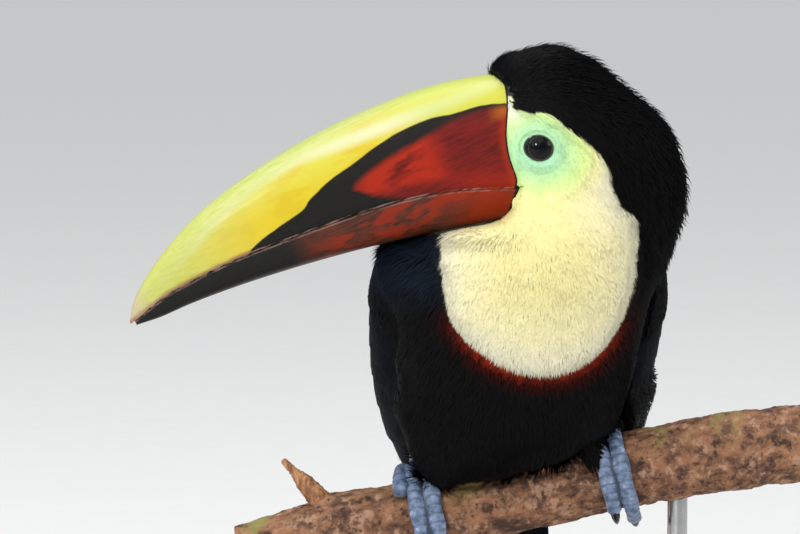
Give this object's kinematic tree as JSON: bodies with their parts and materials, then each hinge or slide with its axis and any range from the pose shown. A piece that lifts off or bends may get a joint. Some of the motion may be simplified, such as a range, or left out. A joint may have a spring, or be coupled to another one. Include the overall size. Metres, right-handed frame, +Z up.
{
  "type": "yellow-throated toucan",
  "caption": "Yellow-throated toucan, life size, perched on a cut length of branch above a flat oval stand, with its large curved bill turned to its right.",
  "frame": {"origin": "centre of the flat underside of the stand's base", "axes": "+Z up, -Y the way the breast faces, -X the way the bill points, and +X along the rising end of the perch"},
  "size_m": [0.2728, 0.2154, 0.345],
  "materials": {
    "black_feather": "soft matt black plumage with a faint sheen",
    "face_and_bib": "black plumage with bare green and yellow face skin and a cream-yellow bib",
    "bill_horn_upper": "satin horn, yellow with a maroon and black wedge",
    "bill_horn_lower": "satin horn, maroon turning black",
    "eye": "wet gloss",
    "blue_scale": "dry blue-grey scutes",
    "claw_horn": "satin black horn",
    "bark": "rough mottled bark",
    "stand_wood": "dark oiled wood",
    "steel": "brushed"
  },
  "bodies": {
    "root": {"bill_lower": "bill_horn_lower", "bill_upper": "bill_horn_upper", "claw_left_front_inner": "claw_horn", "claw_left_front_outer": "claw_horn", "claw_left_rear_inner": "claw_horn", "claw_left_rear_outer": "claw_horn", "claw_right_front_inner": "claw_horn", "claw_right_front_outer": "claw_horn", "claw_right_rear_inner": "claw_horn", "claw_right_rear_outer": "claw_horn", "eye_left": "eye", "eye_right": "eye", "head": "face_and_bib", "neck": "face_and_bib", "perch_branch": "bark", "perch_twig": "bark", "rump": "black_feather", "stand_base": "stand_wood", "stand_collar_a": "steel", "stand_collar_b": "steel", "stand_rod_a": "steel", "stand_rod_b": "steel", "tail": "black_feather", "tarsus_left": "blue_scale", "tarsus_right": "blue_scale", "thigh_left": "black_feather", "thigh_right": "black_feather", "toe_left_front_inner": "blue_scale", "toe_left_front_outer": "blue_scale", "toe_left_rear_inner": "blue_scale", "toe_left_rear_outer": "blue_scale", "toe_right_front_inner": "blue_scale", "toe_right_front_outer": "blue_scale", "toe_right_rear_inner": "blue_scale", "toe_right_rear_outer": "blue_scale", "trunk": "black_feather", "wing_left": "black_feather", "wing_right": "black_feather"}
  },
  "joints": []
}
